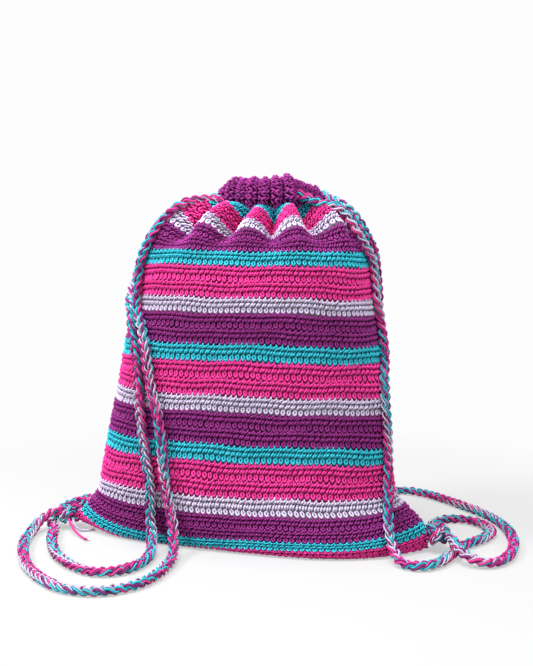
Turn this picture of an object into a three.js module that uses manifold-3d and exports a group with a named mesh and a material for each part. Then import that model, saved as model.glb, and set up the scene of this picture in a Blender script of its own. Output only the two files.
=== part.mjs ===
// Crocheted drawstring bag with two plaited carrying cords.
// Units are millimetres. X runs across the width, the front faces -Y, Z is up.
// The bag stands on z = 0 with the middle of its footprint near the origin.

import * as THREE from 'three';
import { mergeVertices } from 'three/addons/utils/BufferGeometryUtils.js';
import Module from 'manifold-3d';

const wasm = await Module();
wasm.setup();

// Driving sizes

const SIZE = 1;
const FABRIC = 5.5;
const ROW_RELIEF = 1.1;
const CORD_RADIUS = 5.6;
const CORD_SIDES = 8;
const CLEARANCE = 0.4;
const FOLDS = 12;
const FOLD_START = 0.237;
const PUFFS = 24;
const PUFF_HEIGHT = 7;
const PUFF_ROUNDNESS = 0.7;
const BODY_COLUMNS = 60;
const NECK_COLUMNS = 120;
const INNER_COLUMNS = 40;
const NECK_START_ROW = 42;
const LAST_ROW = 54;

// Hem that the cords run in: centre line of the tunnel and the levels of the two cords

const HEM_CENTRE = 23;
const TUNNEL_X = 36;
const TUNNEL_Y = 29.5;
const LOW_CORD = 344.5;
const HIGH_CORD = 356;
const HEM_TOP = 370.5;
const HEM_TOP_SIDES = 6.5;
const MOUTH_X = 25;
const MOUTH_Y = 18.5;

// Shape of the stuffed bag: one column for each measured crochet row

const ROWS = [0, 4, 6, 10, 12, 18, 24, 30, 36, 42, 46, 48, 52, 54];
const HALF_DEPTH = [1.6, 33, 42, 51, 54, 60, 66, 73, 79, 79, 68, 60, 48, 41];
const HALF_WIDTH = [188, 182.5, 176.5, 161, 154, 145, 137.5, 129, 120, 112.5, 95, 83.5, 61, 47];
const SHIFT = [0, 3.5, 5.5, 3.5, 0.5, 2.5, 6.5, 8, 10.5, 10.5, 13.5, 15.5, 21, 23];
const FRONT_Z = [-1.5, -1.5, 9.5, 39, 57, 111, 160.5, 212, 257.5, 301, 319, 325.5, 335.5, 342];
const LEFT_Z = [12, 20, 28, 45, 59, 111, 159, 206.5, 251, 299.5, 321, 328, 337, 342];
const RIGHT_Z = [2, 18, 29, 46, 57, 105, 154, 204.5, 251, 297.5, 319, 327, 337, 342];
const POWER_X = [3.4, 3.3, 3.2, 2.9, 2.8, 2.5, 2.4, 2.35, 2.3, 2.3, 2.2, 2.15, 2.1, 2.1];
const POWER_Y = [1.2, 1.3, 1.4, 1.6, 1.7, 1.95, 2.05, 2.1, 2.1, 2.1, 2.1, 2.1, 2.1, 2.1];
const FOLD_DEPTH = [0, 0, 0, 0, 0, 0, 0, 0, 0, 0.5, 8, 10.5, 10.5, 2.5];
const SIDE_POWER = [5, 5, 5, 4, 3.5, 3, 3, 3, 3, 3, 3, 3, 3, 3];
const SEAM_FORWARD = [30, 17, 9.5, 2, 0, 0, 0, 0, 0, 0, 0, 0, 0, 0];
const SEAM_SKEW = 1.4;
const FRONT_RAISE = [0, 11, 6.5, 0, 0, 0, 0, 0, 0, 0, 0, 0, 0, 0];
const CREST_HEIGHT = [0.75, 1.3, 1.15, 1, 1.1, 0.9, 1, 1.1, 0.9, 1.15, 1.3, 1.1];
const VALLEY_DEPTH = [1.5, 1.2, 1, 0.9, 1.2, 1, 1.15, 0.9, 1.1, 1, 1.2, 0.9];

// Stripes of the twelve-row repeat, counted up from the bottom seam

const PINK = 0xee2f86;
const TURQUOISE = 0x18a9b5;
const PURPLE = 0x7a2478;
const LAVENDER = 0xcfc4dd;
const STRIPES = [PINK, PINK, TURQUOISE, PURPLE, PURPLE, LAVENDER];

// Routes of the cords: corner knot, floor, up the bag, round the tunnel and back

const LEFT_ROUTE = [
  [-199, -2, 18.5], [-209, -6, 19], [-217.5, -19, 13], [-219, -39, 6], [-215, -62, 6], [-203, -97, 6],
  [-182, -137, 6], [-158, -166, 6], [-136, -185, 6], [-115, -194, 6], [-94, -194, 6], [-75, -184, 6],
  [-60, -165, 6], [-52, -138, 6], [-50, -108, 6.5], [-52, -84, 9], [-56.5, -69, 17], [-61, -58, 31],
  [-65, -58.5, 54], [-68, -60, 74.5], [-70, -62, 112.5], [-74.5, -63, 143.5], [-80.5, -62.5, 168],
  [-84.5, -62.5, 195.5], [-90, -59.5, 225.5], [-97.5, -51, 247], [-96.5, -49.5, 269.5],
  [-91.5, -52.5, 292.5], [-83, -53.5, 311], [-70, -49.3, 330.5], [-55.5, -43.5, 344], [-40, -35, 349.5],
  [-24, -28, 350.5], [-8, -27, 347], [8, -28.3, 344.5], [23, -29.5, 344.5], [37, -27.5, 344.5],
  [48.5, -21, 344.5], [56.5, -11.5, 344.5], [59, 0, 344.5], [56.5, 11.5, 344.5], [48.5, 21, 344.5],
  [37, 27.5, 344.5], [23, 29.5, 344.5], [8, 28.3, 344.5], [-8, 28, 347], [-24, 32, 350.5],
  [-40, 38.5, 349.5], [-56, 42.5, 342.5], [-76.5, 42, 331], [-97, 28.5, 315], [-110, 17, 294], [-115, 0, 268],
  [-114, -22.5, 250], [-106.5, -41.5, 241], [-102.5, -50.5, 221], [-96.5, -56, 195.5],
  [-95, -56.5, 168], [-92.5, -57, 133.5], [-89, -57, 102], [-84.5, -56.5, 72.5], [-84, -55, 52],
  [-85, -54, 33], [-81, -62, 18], [-76, -78, 9], [-75, -98, 6], [-80, -121, 6], [-92, -137, 6],
  [-108, -143, 6], [-125, -139, 6], [-148, -122, 6], [-169, -97, 6], [-189, -57, 6], [-201, -20, 6],
  [-210.5, -4, 6], [-215, 12, 7], [-214, 30, 11], [-205.5, 45, 15.5], [-191, 49, 20], [-179, 40, 23],
  [-177, 25, 24], [-184, 11, 22],
];
const RIGHT_ROUTE = [
  [197, 12, 18], [195, 30, 14], [189, 54, 8], [187, 78, 6], [198, 98, 6], [217, 103, 6], [236, 91, 6],
  [248, 67, 6], [242, 40, 6], [223, 10, 6], [213, -20, 6], [205, -43, 6], [194, -59, 6], [180, -64, 6],
  [167, -57, 7], [158, -43, 16], [152, -31.5, 38], [150.8, -22.3, 77.5], [149.5, -18.5, 116],
  [147.5, -20.5, 146.5], [145.5, -19, 174.5], [144.5, -9.5, 199.5], [140.5, -9, 229],
  [136, -12.5, 258], [134, -10.5, 278], [130.5, -14, 296], [118.5, -26.3, 319], [106, -26.7, 336.4],
  [93.5, -28.4, 344.8], [81, -30.5, 348], [67, -31.5, 352.5], [52, -30, 355.8], [38, -29.8, 356],
  [23, -29.5, 356], [9, -27.5, 356], [-2.5, -21, 356], [-10.5, -11.5, 356], [-13, 0, 356],
  [-10.5, 11.5, 356], [-2.5, 21, 356], [9, 27.5, 356], [23, 29.5, 356], [38, 30.5, 356],
  [53, 30, 355.8], [69, 24.5, 354.5], [83, 12, 352], [93, -1, 349], [103.5, -6.5, 342], [113, -7, 333],
  [122.5, -7.5, 318.5], [130.5, 5.5, 300], [133, 17.5, 276], [133, 29.5, 245], [131.5, 38, 207],
  [129, 43, 165], [124, 45, 124], [120.5, 46, 82.5], [119.5, 46, 48.5], [114, 74, 28], [110, 88, 14],
  [107, 106, 7], [107, 135, 6], [113, 170, 6], [124, 196, 6], [143, 208, 6], [172, 197, 6],
  [215, 156, 6], [252, 109, 6], [270, 52, 6], [270, 2, 6], [262, -27, 6], [248, -42, 7],
  [230, -41, 11], [219, -28, 16], [213, -13, 18.5], [206, 0, 19],
];

// Knots at the two bottom corners: centre and half sizes of the lumps of each

const LEFT_KNOT = [
  [-192, 2, 15, 13, 12, 12], [-196, -6, 13, 9, 8, 10], [-188, 8, 19, 9, 8, 9], [-187, -7, 19, 9, 7, 8],
  [-195, 6, 20, 9, 8, 8],
];
const RIGHT_KNOT = [
  [196, 2, 17, 13, 12, 13], [202, -5, 16, 9, 8, 10], [192, 8, 21, 9, 8, 9], [192, -7, 21, 9, 7, 8],
  [201, 6, 21, 9, 8, 8],
];

// A value from one of the tables at any row, along a smooth curve

function along(values, row) {
  const last = ROWS.length - 1;
  let i = 0;
  while (i < last - 1 && row > ROWS[i + 1]) {
    i += 1;
  }
  const slope = (k) => {
    const a = Math.max(k - 1, 0);
    const b = Math.min(k + 1, last);
    return (values[b] - values[a]) / (ROWS[b] - ROWS[a]);
  };
  const h = ROWS[i + 1] - ROWS[i];
  const s = Math.min(1, Math.max(0, (row - ROWS[i]) / h));
  const s2 = s * s;
  const s3 = s2 * s;
  return (2 * s3 - 3 * s2 + 1) * values[i] + (s3 - 2 * s2 + s) * h * slope(i)
    + (3 * s2 - 2 * s3) * values[i + 1] + (s3 - s2) * h * slope(i + 1);
}

// One quarter of a section, from its side to its front, at a share of its length

function quarter(a, b, p, q, share) {
  const steps = 90;
  const xs = [];
  const ys = [];
  const lengths = [0];
  for (let i = 0; i <= steps; i += 1) {
    const t = (i / steps) * Math.PI / 2;
    xs.push(a * Math.pow(Math.max(0, Math.cos(t)), 2 / p));
    ys.push(b * Math.pow(Math.sin(t), 2 / q));
    if (i > 0) {
      lengths.push(lengths[i - 1] + Math.hypot(xs[i] - xs[i - 1], ys[i] - ys[i - 1]));
    }
  }
  const goal = share * lengths[steps];
  let i = 0;
  while (i < steps - 1 && lengths[i + 1] < goal) {
    i += 1;
  }
  const f = (goal - lengths[i]) / (lengths[i + 1] - lengths[i]);
  return [xs[i] + f * (xs[i + 1] - xs[i]), ys[i] + f * (ys[i + 1] - ys[i])];
}

// Point of the plain wall at a row and a share of the way round.
// The way round starts at the right side and passes the front first.

function wall(row, round, insetX = 0, insetY = 0, rise = 0) {
  const u = ((round % 1) + 1) % 1;
  const part = Math.min(3, Math.floor(u * 4));
  const f = u * 4 - part;
  const a = along(HALF_WIDTH, row) - insetX;
  const b = along(HALF_DEPTH, row) - insetY;
  const share = part % 2 === 0 ? f : 1 - f;
  const [x, y] = quarter(a, b, along(POWER_X, row), along(POWER_Y, row), share);
  const right = part === 0 || part === 3;
  const front = along(FRONT_Z, row);
  const side = along(right ? RIGHT_Z : LEFT_Z, row);
  const across = (right ? x : -x) / a;
  const bulge = 1 - across * across;
  const forward = along(SEAM_FORWARD, row) * (1 + SEAM_SKEW * across) * bulge;
  const tuck = Math.pow(Math.min(1, row / 4), 1.5) * (1 - Math.pow(Math.abs(across), 3));
  const raise = part < 2 ? along(FRONT_RAISE, row) * tuck * (0.7 + 0.75 * across) : 0;
  const z = front + (side - front) * Math.pow(x / a, along(SIDE_POWER, row)) + raise + rise;
  return new THREE.Vector3(
    across * a + along(SHIFT, row),
    (part < 2 ? -y : y) - forward,
    z,
  );
}

function outward(row, round) {
  const e = 0.002;
  const across = wall(row, round + e).sub(wall(row, round - e));
  const up = wall(Math.min(row + 0.25, LAST_ROW), round).sub(wall(Math.max(row - 0.25, 0), round));
  return up.cross(across).normalize();
}

// Gathers of the neck: crests and deeper valleys, not all alike

function gather(round) {
  const place = FOLDS * (round - FOLD_START);
  const wave = Math.cos(2 * Math.PI * place);
  const crest = ((Math.round(place) % FOLDS) + FOLDS) % FOLDS;
  const valley = ((Math.round(place + 0.5) % FOLDS) + FOLDS) % FOLDS;
  return wave * (wave >= 0 ? CREST_HEIGHT[crest] : VALLEY_DEPTH[valley]);
}

function skin(row, round, relief = 0, grow = 0) {
  const point = wall(row, round);
  const fold = along(FOLD_DEPTH, row);
  const lift = (fold > 0.01 ? fold * gather(round) : 0) + relief + grow;
  point.addScaledVector(outward(row, round), lift);
  point.z = Math.max(point.z, -grow);
  return point;
}

// The hem: a gathered ring of puffs, given as half sizes and heights up its outside,
// over its top and down its inside

const HEM_PROFILE = [
  { x: 46.5, y: 40, z: 345, puff: 0.5 },
  { x: 49, y: 42.5, z: 352, puff: 1 },
  { x: 48, y: 41.5, z: 361, puff: 1 },
  { x: 42, y: 35.5, z: HEM_TOP - 1.5, puff: 1 },
  { x: 34, y: 27.5, z: HEM_TOP, puff: 0.8 },
  { x: MOUTH_X + 1.5, y: MOUTH_Y + 1.5, z: HEM_TOP - 4, puff: 0.3 },
];
const INNER_PROFILE = [
  { x: MOUTH_X, y: MOUTH_Y, z: 356 },
  { x: MOUTH_X + 0.5, y: MOUTH_Y, z: 336 },
  { x: 36, y: 27, z: 325 },
  { x: 55, y: 40, z: 313 },
  { x: 76, y: 53, z: 303 },
  { x: 98, y: 67, z: 289 },
];

function hemPoint(level, round) {
  const share = level.puff ?? 0;
  const place = PUFFS * (round - FOLD_START);
  const puff = share * PUFF_HEIGHT * (Math.pow(Math.abs(Math.cos(Math.PI * place)), 0.7) - 0.6);
  const closed = share * PUFF_ROUNDNESS * Math.sin(2 * Math.PI * place) / PUFFS;
  const angle = round * 2 * Math.PI + closed;
  const high = share ? puff * 0.7 - HEM_TOP_SIDES * Math.pow(Math.cos(angle), 2) : 0;
  const steep = Math.min(1, Math.max(0, (level.z - 350) / 15));
  const sideways = puff * (level.x > 40 ? 1 : 0.4);
  return new THREE.Vector3(
    HEM_CENTRE + (level.x + sideways) * Math.cos(angle),
    -(level.y + sideways) * Math.sin(angle),
    level.z + high * steep,
  );
}

function innerPoint(level, round) {
  const angle = round * 2 * Math.PI;
  const open = Math.min(1, (level.x - MOUTH_X) / 75);
  const centre = HEM_CENTRE - open * 11;
  return new THREE.Vector3(centre + level.x * Math.cos(angle), -level.y * Math.sin(angle), level.z);
}

// Building a closed surface out of rings of points

class Surface {
  constructor() {
    this.points = [];
    this.faces = [];
  }

  ring(count, place) {
    const ids = [];
    for (let i = 0; i < count; i += 1) {
      ids.push(this.points.length);
      this.points.push(place(i / count));
    }
    return ids;
  }

  // Joins two rings that may differ in their number of points
  join(lower, upper) {
    let i = 0;
    let j = 0;
    while (i < lower.length || j < upper.length) {
      const nextLower = (i + 1) / lower.length;
      const nextUpper = (j + 1) / upper.length;
      const a = lower[i % lower.length];
      const b = upper[j % upper.length];
      if (j >= upper.length || (i < lower.length && nextLower <= nextUpper + 1e-9)) {
        this.faces.push([a, b, lower[(i + 1) % lower.length]]);
        i += 1;
      } else {
        this.faces.push([a, b, upper[(j + 1) % upper.length]]);
        j += 1;
      }
    }
  }

  // Closes a flat ring by strips between its front and its back
  cap(ring, up) {
    const n = ring.length;
    for (let i = 0; i < n / 2; i += 1) {
      const a = ring[i];
      const b = ring[i + 1 === n ? 0 : i + 1];
      const c = ring[(n - i) % n];
      const d = ring[(n - i - 1 + n) % n];
      if (i > 0) {
        this.faces.push(up ? [a, c, b] : [a, b, c]);
      }
      if (i + 1 < n / 2) {
        this.faces.push(up ? [c, d, b] : [c, b, d]);
      }
    }
  }

  geometry() {
    const made = new THREE.BufferGeometry();
    const flat = this.points.flatMap((p) => [p.x, p.y, p.z]);
    made.setAttribute('position', new THREE.Float32BufferAttribute(flat, 3));
    made.setIndex(this.faces.flat());
    return made;
  }
}

function volume(geometry) {
  const p = geometry.attributes.position;
  const index = geometry.index;
  const a = new THREE.Vector3();
  const b = new THREE.Vector3();
  const c = new THREE.Vector3();
  let sum = 0;
  for (let i = 0; i < index.count; i += 3) {
    a.fromBufferAttribute(p, index.getX(i));
    b.fromBufferAttribute(p, index.getX(i + 1));
    c.fromBufferAttribute(p, index.getX(i + 2));
    sum += a.dot(b.cross(c)) / 6;
  }
  return sum;
}

// Turns a closed surface into a solid for joining and cutting

function solid(geometry) {
  const plain = geometry.clone();
  plain.deleteAttribute('normal');
  plain.deleteAttribute('uv');
  const merged = mergeVertices(plain, 1e-4);
  const order = Uint32Array.from(merged.index.array);
  if (volume(merged) < 0) {
    for (let i = 0; i < order.length; i += 3) {
      [order[i], order[i + 1]] = [order[i + 1], order[i]];
    }
  }
  return new wasm.Manifold(new wasm.Mesh({
    numProp: 3,
    vertProperties: Float32Array.from(merged.attributes.position.array),
    triVerts: order,
  }));
}

function fromSolid(shape) {
  const mesh = shape.getMesh();
  const made = new THREE.BufferGeometry();
  const points = new Float32Array((mesh.vertProperties.length / mesh.numProp) * 3);
  for (let i = 0; i < points.length / 3; i += 1) {
    for (let k = 0; k < 3; k += 1) {
      points[i * 3 + k] = mesh.vertProperties[i * mesh.numProp + k];
    }
  }
  made.setAttribute('position', new THREE.BufferAttribute(points, 3));
  made.setIndex(Array.from(mesh.triVerts));
  return made;
}

// A route that keeps its own points as the steps of a sweep

class Route extends THREE.Curve {
  constructor(list) {
    super();
    this.list = list.map((p) => new THREE.Vector3(...p));
  }

  getPoint(t) {
    const at = t * (this.list.length - 1);
    const i = Math.min(this.list.length - 2, Math.floor(at));
    return this.list[i].clone().lerp(this.list[i + 1], at - i);
  }

  getPointAt(t) {
    return this.getPoint(t);
  }

  getTangentAt(t) {
    const i = Math.round(t * (this.list.length - 1));
    const before = this.list[Math.max(0, i - 1)];
    const after = this.list[Math.min(this.list.length - 1, i + 1)];
    return after.clone().sub(before).normalize();
  }

  getSpacedPoints() {
    return this.list.map((p) => p.clone());
  }
}

function tube(route, radius) {
  const outline = [];
  for (let i = 0; i < CORD_SIDES; i += 1) {
    const t = (i / CORD_SIDES) * 2 * Math.PI;
    outline.push(new THREE.Vector2(Math.cos(t) * radius, Math.sin(t) * radius));
  }
  return new THREE.ExtrudeGeometry(new THREE.Shape(outline), {
    steps: route.length - 1,
    extrudePath: new Route(route),
  });
}

// The slot that joins the two cord channels of the hem into one tunnel

function tunnelSlot() {
  const ring = new Surface();
  const half = CORD_RADIUS * 0.72;
  const levels = [
    [half, LOW_CORD - 1],
    [half, HIGH_CORD + 1],
    [-half, HIGH_CORD + 1],
    [-half, LOW_CORD - 1],
  ];
  const rings = levels.map(([out, z]) => ring.ring(28, (round) => new THREE.Vector3(
    HEM_CENTRE + (TUNNEL_X + out) * Math.cos(round * 2 * Math.PI),
    -(TUNNEL_Y + out) * Math.sin(round * 2 * Math.PI),
    z,
  )));
  for (let i = 0; i < 4; i += 1) {
    ring.join(rings[i], rings[(i + 1) % 4]);
  }
  return solid(ring.geometry());
}

// The bag: one crocheted piece, outside from the bottom seam up to the hem, over the hem
// and down the inside to the floor of the bag

function bagShell() {
  const s = new Surface();
  const rings = [];
  for (let row = 0; row < NECK_START_ROW; row += 1) {
    const relief = row < 2 ? 0 : (row % 2 === 1 ? ROW_RELIEF : -ROW_RELIEF);
    rings.push(s.ring(BODY_COLUMNS, (u) => skin(row, u, relief)));
  }
  for (let row = NECK_START_ROW; row <= LAST_ROW; row += 1) {
    const relief = row === LAST_ROW ? 0 : (row % 2 === 1 ? ROW_RELIEF : -ROW_RELIEF);
    rings.push(s.ring(NECK_COLUMNS, (u) => skin(row, u, relief)));
  }
  for (const level of HEM_PROFILE) {
    rings.push(s.ring(NECK_COLUMNS, (u) => hemPoint(level, u)));
  }
  for (const level of INNER_PROFILE) {
    rings.push(s.ring(INNER_COLUMNS, (u) => innerPoint(level, u)));
  }
  const inner = [
    [38, 7.5, FABRIC, 0], [32, 7, FABRIC, 0], [26, 7, FABRIC, 0], [20, 8, FABRIC, 0],
    [14, 12, FABRIC + 0.5, 1], [10, 17, FABRIC + 1.5, 2], [7, 26, FABRIC + 2.5, 3],
    [5.4, 36, FABRIC + 4, 4.5],
  ];
  for (const [row, dx, dy, rise] of inner) {
    rings.push(s.ring(INNER_COLUMNS, (u) => wall(row, u, dx, dy, rise)));
  }
  for (let i = 0; i + 1 < rings.length; i += 1) {
    s.join(rings[i], rings[i + 1]);
  }
  s.cap(rings[0], false);
  s.cap(rings[rings.length - 1], true);
  return s;
}

// The outside of a bottom corner with a little air round it, for seating a knot

function cornerAir() {
  const s = new Surface();
  const rings = [];
  const middle = new THREE.Vector3(along(SHIFT, 0), 0, 20);
  for (let row = 0; row <= 12; row += 1) {
    const relief = row < 2 ? 0 : (row % 2 === 1 ? ROW_RELIEF : -ROW_RELIEF);
    rings.push(s.ring(BODY_COLUMNS, (u) => {
      const point = skin(row, u, relief, CLEARANCE);
      point.x = middle.x + (point.x - middle.x) * 1.006;
      return point;
    }));
  }
  for (let i = 0; i + 1 < rings.length; i += 1) {
    s.join(rings[i], rings[i + 1]);
  }
  s.cap(rings[0], false);
  s.cap(rings[rings.length - 1], true);
  return solid(s.geometry());
}

function lump([x, y, z, rx, ry, rz]) {
  const ball = new THREE.SphereGeometry(1, 10, 6);
  ball.scale(rx, ry, rz);
  ball.rotateZ(x * 0.05);
  ball.translate(x, y, z);
  return solid(ball);
}

function knot(lumps, air, cordAir) {
  let made = lump(lumps[0]);
  for (const other of lumps.slice(1)) {
    made = made.add(lump(other));
  }
  const base = new THREE.BoxGeometry(80, 80, 10);
  base.translate(lumps[0][0], lumps[0][1], -4.5);
  return made.subtract(air).subtract(cordAir).subtract(solid(base));
}

// Colour of each face by the crochet row that it lies in

function stripe(geometry) {
  const loose = geometry.toNonIndexed();
  const samples = [];
  for (let row = 0; row <= LAST_ROW; row += 0.5) {
    for (let i = 0; i < 60; i += 1) {
      samples.push({ row, point: skin(row, i / 60) });
    }
  }
  const p = loose.attributes.position;
  const colours = new Float32Array(p.count * 3);
  const middle = new THREE.Vector3();
  const corner = new THREE.Vector3();
  for (let i = 0; i < p.count; i += 3) {
    middle.set(0, 0, 0);
    for (let k = 0; k < 3; k += 1) {
      middle.add(corner.fromBufferAttribute(p, i + k));
    }
    middle.divideScalar(3);
    let best = Infinity;
    let row = 0;
    for (const sample of samples) {
      const d = sample.point.distanceToSquared(middle);
      if (d < best) {
        best = d;
        row = sample.row;
      }
    }
    const hem = middle.z > 344 && Math.hypot((middle.x - HEM_CENTRE) / 53, middle.y / 47) < 1;
    const pair = Math.floor((Math.min(row, LAST_ROW - 0.01) % 12) / 2);
    const colour = new THREE.Color(hem ? PURPLE : STRIPES[pair]);
    for (let k = 0; k < 3; k += 1) {
      colour.toArray(colours, (i + k) * 3);
    }
  }
  loose.setAttribute('color', new THREE.BufferAttribute(colours, 3));
  return loose;
}

function node(name, geometry, material) {
  const mesh = new THREE.Mesh(geometry, material);
  mesh.name = name;
  mesh.geometry.computeVertexNormals();
  return mesh;
}

const leftAir = solid(tube(LEFT_ROUTE, CORD_RADIUS + CLEARANCE));
const rightAir = solid(tube(RIGHT_ROUTE, CORD_RADIUS + CLEARANCE));
const cordAir = leftAir.add(rightAir);
const shell = solid(bagShell().geometry()).subtract(cordAir).subtract(tunnelSlot());
const air = cornerAir();

const group = new THREE.Group();
group.name = 'drawstring_bag';
const yarn = { roughness: 0.9, metalness: 0 };
group.add(node('bag_body', stripe(fromSolid(shell)), new THREE.MeshStandardMaterial({
  ...yarn, vertexColors: true,
})));
group.add(node('drawcord_left', tube(LEFT_ROUTE, CORD_RADIUS), new THREE.MeshStandardMaterial({
  ...yarn, color: 0xa8589f,
})));
group.add(node('drawcord_right', tube(RIGHT_ROUTE, CORD_RADIUS), new THREE.MeshStandardMaterial({
  ...yarn, color: 0xa8589f,
})));
group.add(node('corner_knot_left', fromSolid(knot(LEFT_KNOT, air, cordAir)), new THREE.MeshStandardMaterial({
  ...yarn, color: 0xb25a95,
})));
group.add(node('corner_knot_right', fromSolid(knot(RIGHT_KNOT, air, cordAir)), new THREE.MeshStandardMaterial({
  ...yarn, color: 0xb25a95,
})));
group.scale.setScalar(SIZE);
group.updateMatrixWorld(true);

export default group;
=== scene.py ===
import math

import bmesh
import bpy
import numpy as np
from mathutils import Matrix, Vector
from mathutils.kdtree import KDTree


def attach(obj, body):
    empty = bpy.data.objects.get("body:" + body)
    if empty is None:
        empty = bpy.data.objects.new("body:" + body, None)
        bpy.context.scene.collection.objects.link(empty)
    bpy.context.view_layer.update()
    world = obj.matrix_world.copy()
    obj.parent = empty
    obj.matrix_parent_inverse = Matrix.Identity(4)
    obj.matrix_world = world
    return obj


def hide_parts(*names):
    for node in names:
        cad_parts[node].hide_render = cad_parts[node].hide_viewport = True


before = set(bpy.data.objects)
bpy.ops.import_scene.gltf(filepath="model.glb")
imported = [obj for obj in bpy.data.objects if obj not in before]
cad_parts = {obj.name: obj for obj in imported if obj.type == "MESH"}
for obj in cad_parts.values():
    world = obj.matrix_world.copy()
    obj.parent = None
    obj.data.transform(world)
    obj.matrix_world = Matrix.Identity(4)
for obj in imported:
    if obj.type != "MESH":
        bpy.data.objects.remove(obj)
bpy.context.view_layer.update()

# Lengths are in millimetres in the tables below and in metres in every mesh

MM = 0.001

# Stuffed bag: sizes, heights and shape at some of its crochet rows, counted up from the bottom seam

ROWS = [0, 4, 6, 10, 12, 18, 24, 30, 36, 42, 46, 48, 52, 54]
HALF_DEPTH = [1.6, 33, 42, 51, 54, 60, 66, 73, 79, 79, 68, 60, 48, 41]
HALF_WIDTH = [188, 182.5, 176.5, 161, 154, 145, 137.5, 129, 120, 112.5, 95, 83.5, 61, 47]
SHIFT = [0, 3.5, 5.5, 3.5, 0.5, 2.5, 6.5, 8, 10.5, 10.5, 13.5, 15.5, 21, 23]
FRONT_Z = [-1.5, -1.5, 9.5, 39, 57, 111, 160.5, 212, 257.5, 301, 319, 325.5, 335.5, 342]
LEFT_Z = [12, 20, 28, 45, 59, 111, 159, 206.5, 251, 299.5, 321, 328, 337, 342]
RIGHT_Z = [2, 18, 29, 46, 57, 105, 154, 204.5, 251, 297.5, 319, 327, 337, 342]
POWER_X = [3.4, 3.3, 3.2, 2.9, 2.8, 2.5, 2.4, 2.35, 2.3, 2.3, 2.2, 2.15, 2.1, 2.1]
POWER_Y = [1.2, 1.3, 1.4, 1.6, 1.7, 1.95, 2.05, 2.1, 2.1, 2.1, 2.1, 2.1, 2.1, 2.1]
FOLD_DEPTH = [0, 0, 0, 0, 0, 0, 0, 0, 0, 0.5, 8, 10.5, 10.5, 2.5]
SIDE_POWER = [5, 5, 5, 4, 3.5, 3, 3, 3, 3, 3, 3, 3, 3, 3]
SEAM_FORWARD = [30, 17, 9.5, 2, 0, 0, 0, 0, 0, 0, 0, 0, 0, 0]
SEAM_SKEW = 1.4
FRONT_RAISE = [0, 11, 6.5, 0, 0, 0, 0, 0, 0, 0, 0, 0, 0, 0]
NECK_START_ROW = 42
LAST_ROW = 54

# Folds of the neck, with the height of each crest and the depth of each valley

FOLDS = 12
FOLD_START = 0.237
CREST_HEIGHT = [0.75, 1.3, 1.15, 1, 1.1, 0.9, 1, 1.1, 0.9, 1.15, 1.3, 1.1]
VALLEY_DEPTH = [1.5, 1.2, 1, 0.9, 1.2, 1, 1.15, 0.9, 1.1, 1, 1.2, 0.9]

# Bottom edge: from this height down the wall curves out to its lowest height, clear of the floor

BOTTOM_FROM = 5
BOTTOM_LOWEST = 2.2
BOTTOM_CURVE = 2.8

# Gathered hem: where it stands, how far its top drops at the sides and the back, and its puffs

HEM_CENTRE = 23
HEM_LEAN = 2.5
HEM_TOP_SIDES = 7
HEM_BACK_DROP = 5
PUFFS = 24
PUFF_HEIGHT = 11
PUFF_ROUNDNESS = 0.45
PUFF_FULLNESS = 0.9
PUFF_MIDDLE = 0.6
PUFF_SIZES = [
    1, 1.05, 0.95, 1.1, 0.9, 0.85, 1, 1.1, 0.9, 1, 1.15, 0.9,
    1, 0.9, 1.1, 1, 0.85, 1.05, 0.9, 0.9, 0.95, 1, 1.3, 1.1,
]

# The puffs rise more and more from this height on, and stand out less on the inside of the hem

PUFF_LIFT = 1.2
LIFT_FROM = 350
LIFT_OVER = 15
INSIDE_HALF_WIDTH = 40
INSIDE_PUFF = 0.4

# Rings of the hem: the crochet row that each stands for, half width, half depth, height and puff

HEM_RINGS = [
    (54.5, 45, 39.5, 345, 0.5),
    (55.3, 46, 41, 351, 1),
    (56.4, 45, 40, 358.5, 1),
    (57.6, 41, 34.5, 363.5, 1),
    (58.6, 34.5, 27.5, 364.5, 0.9),
    (59.6, 26.5, 20, 360.5, 0.4),
    (60.9, 24, 18, 352, 0),
    (63.3, 25, 18.5, 336, 0),
]

# Rings of the throat under it: half width, half depth and height. As the throat widens, its middle
# moves back from the hem's towards the bag's

THROAT_RINGS = [(36, 27, 325), (55, 40, 313), (76, 53, 303), (98, 67, 289)]
MOUTH_HALF_WIDTH = 25
THROAT_WIDENS = 75
THROAT_SHIFT = 11
THROAT_ROW = 48

# Rings of the inside: crochet row, how far in from the wall across and in depth, and how far up

INNER_RINGS = [
    (38, 7.5, 5.5, 0), (32, 7, 5.5, 0), (26, 7, 5.5, 0), (20, 8, 5.5, 0),
    (14, 12, 6, 1), (10, 17, 7, 2), (7, 26, 8, 3), (5.4, 36, 9.5, 4.5),
]

# Yarn colours, and the stripe of each pair of rows in the twelve-row repeat

PINK = (241, 58, 149)
TURQUOISE = (50, 184, 204)
PURPLE = (138, 40, 122)
LAVENDER = (204, 191, 218)
STRIPES = [0, 0, 1, 2, 2, 3]
HEM_STRIPE = 2

# Crochet gauge, and how far each pair of rows leans from the one under it, in stitches

STITCHES_ROUND = 120
STITCH_WIDTH = 5.9
UNIT_HEIGHT = 16.8
UNIT_ROWS = 2
LEAN = -0.33
YARN_SINK = 0.55
FLOOR_GAP = 0.3

# Stitches of the hem: three columns drawn together on each puff, flatter in between

HEM_STITCHES = 72
HEM_UNITS = 6
HEM_UNIT_ROWS = 8 / 6
HEM_OFFSET = -0.564
PUFF_COLUMNS = 3
PUFF_SHARE = 0.62
VALLEY_YARN = 0.35
CREST_YARN = 0.8

# How unevenly the lengths lie: across and down as shares of the unit, and up in millimetres

STITCH_SPREAD = (0.032, 0.01, 0.14)
HEM_SPREAD = (0.09, 0.035, 0.25)
SIZE_SPREAD = 0.03

# Slow wander of the rows: how far in rows, waves round the bag, and drift from pair to pair

WANDER = [(0.09, 5, 0.5), (0.06, 11, 1.7)]
WANDER_FULL_ROW = 12

# Closed fabric behind the stitches, coloured with painted shading, and how deep it lies under the
# surface

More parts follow.
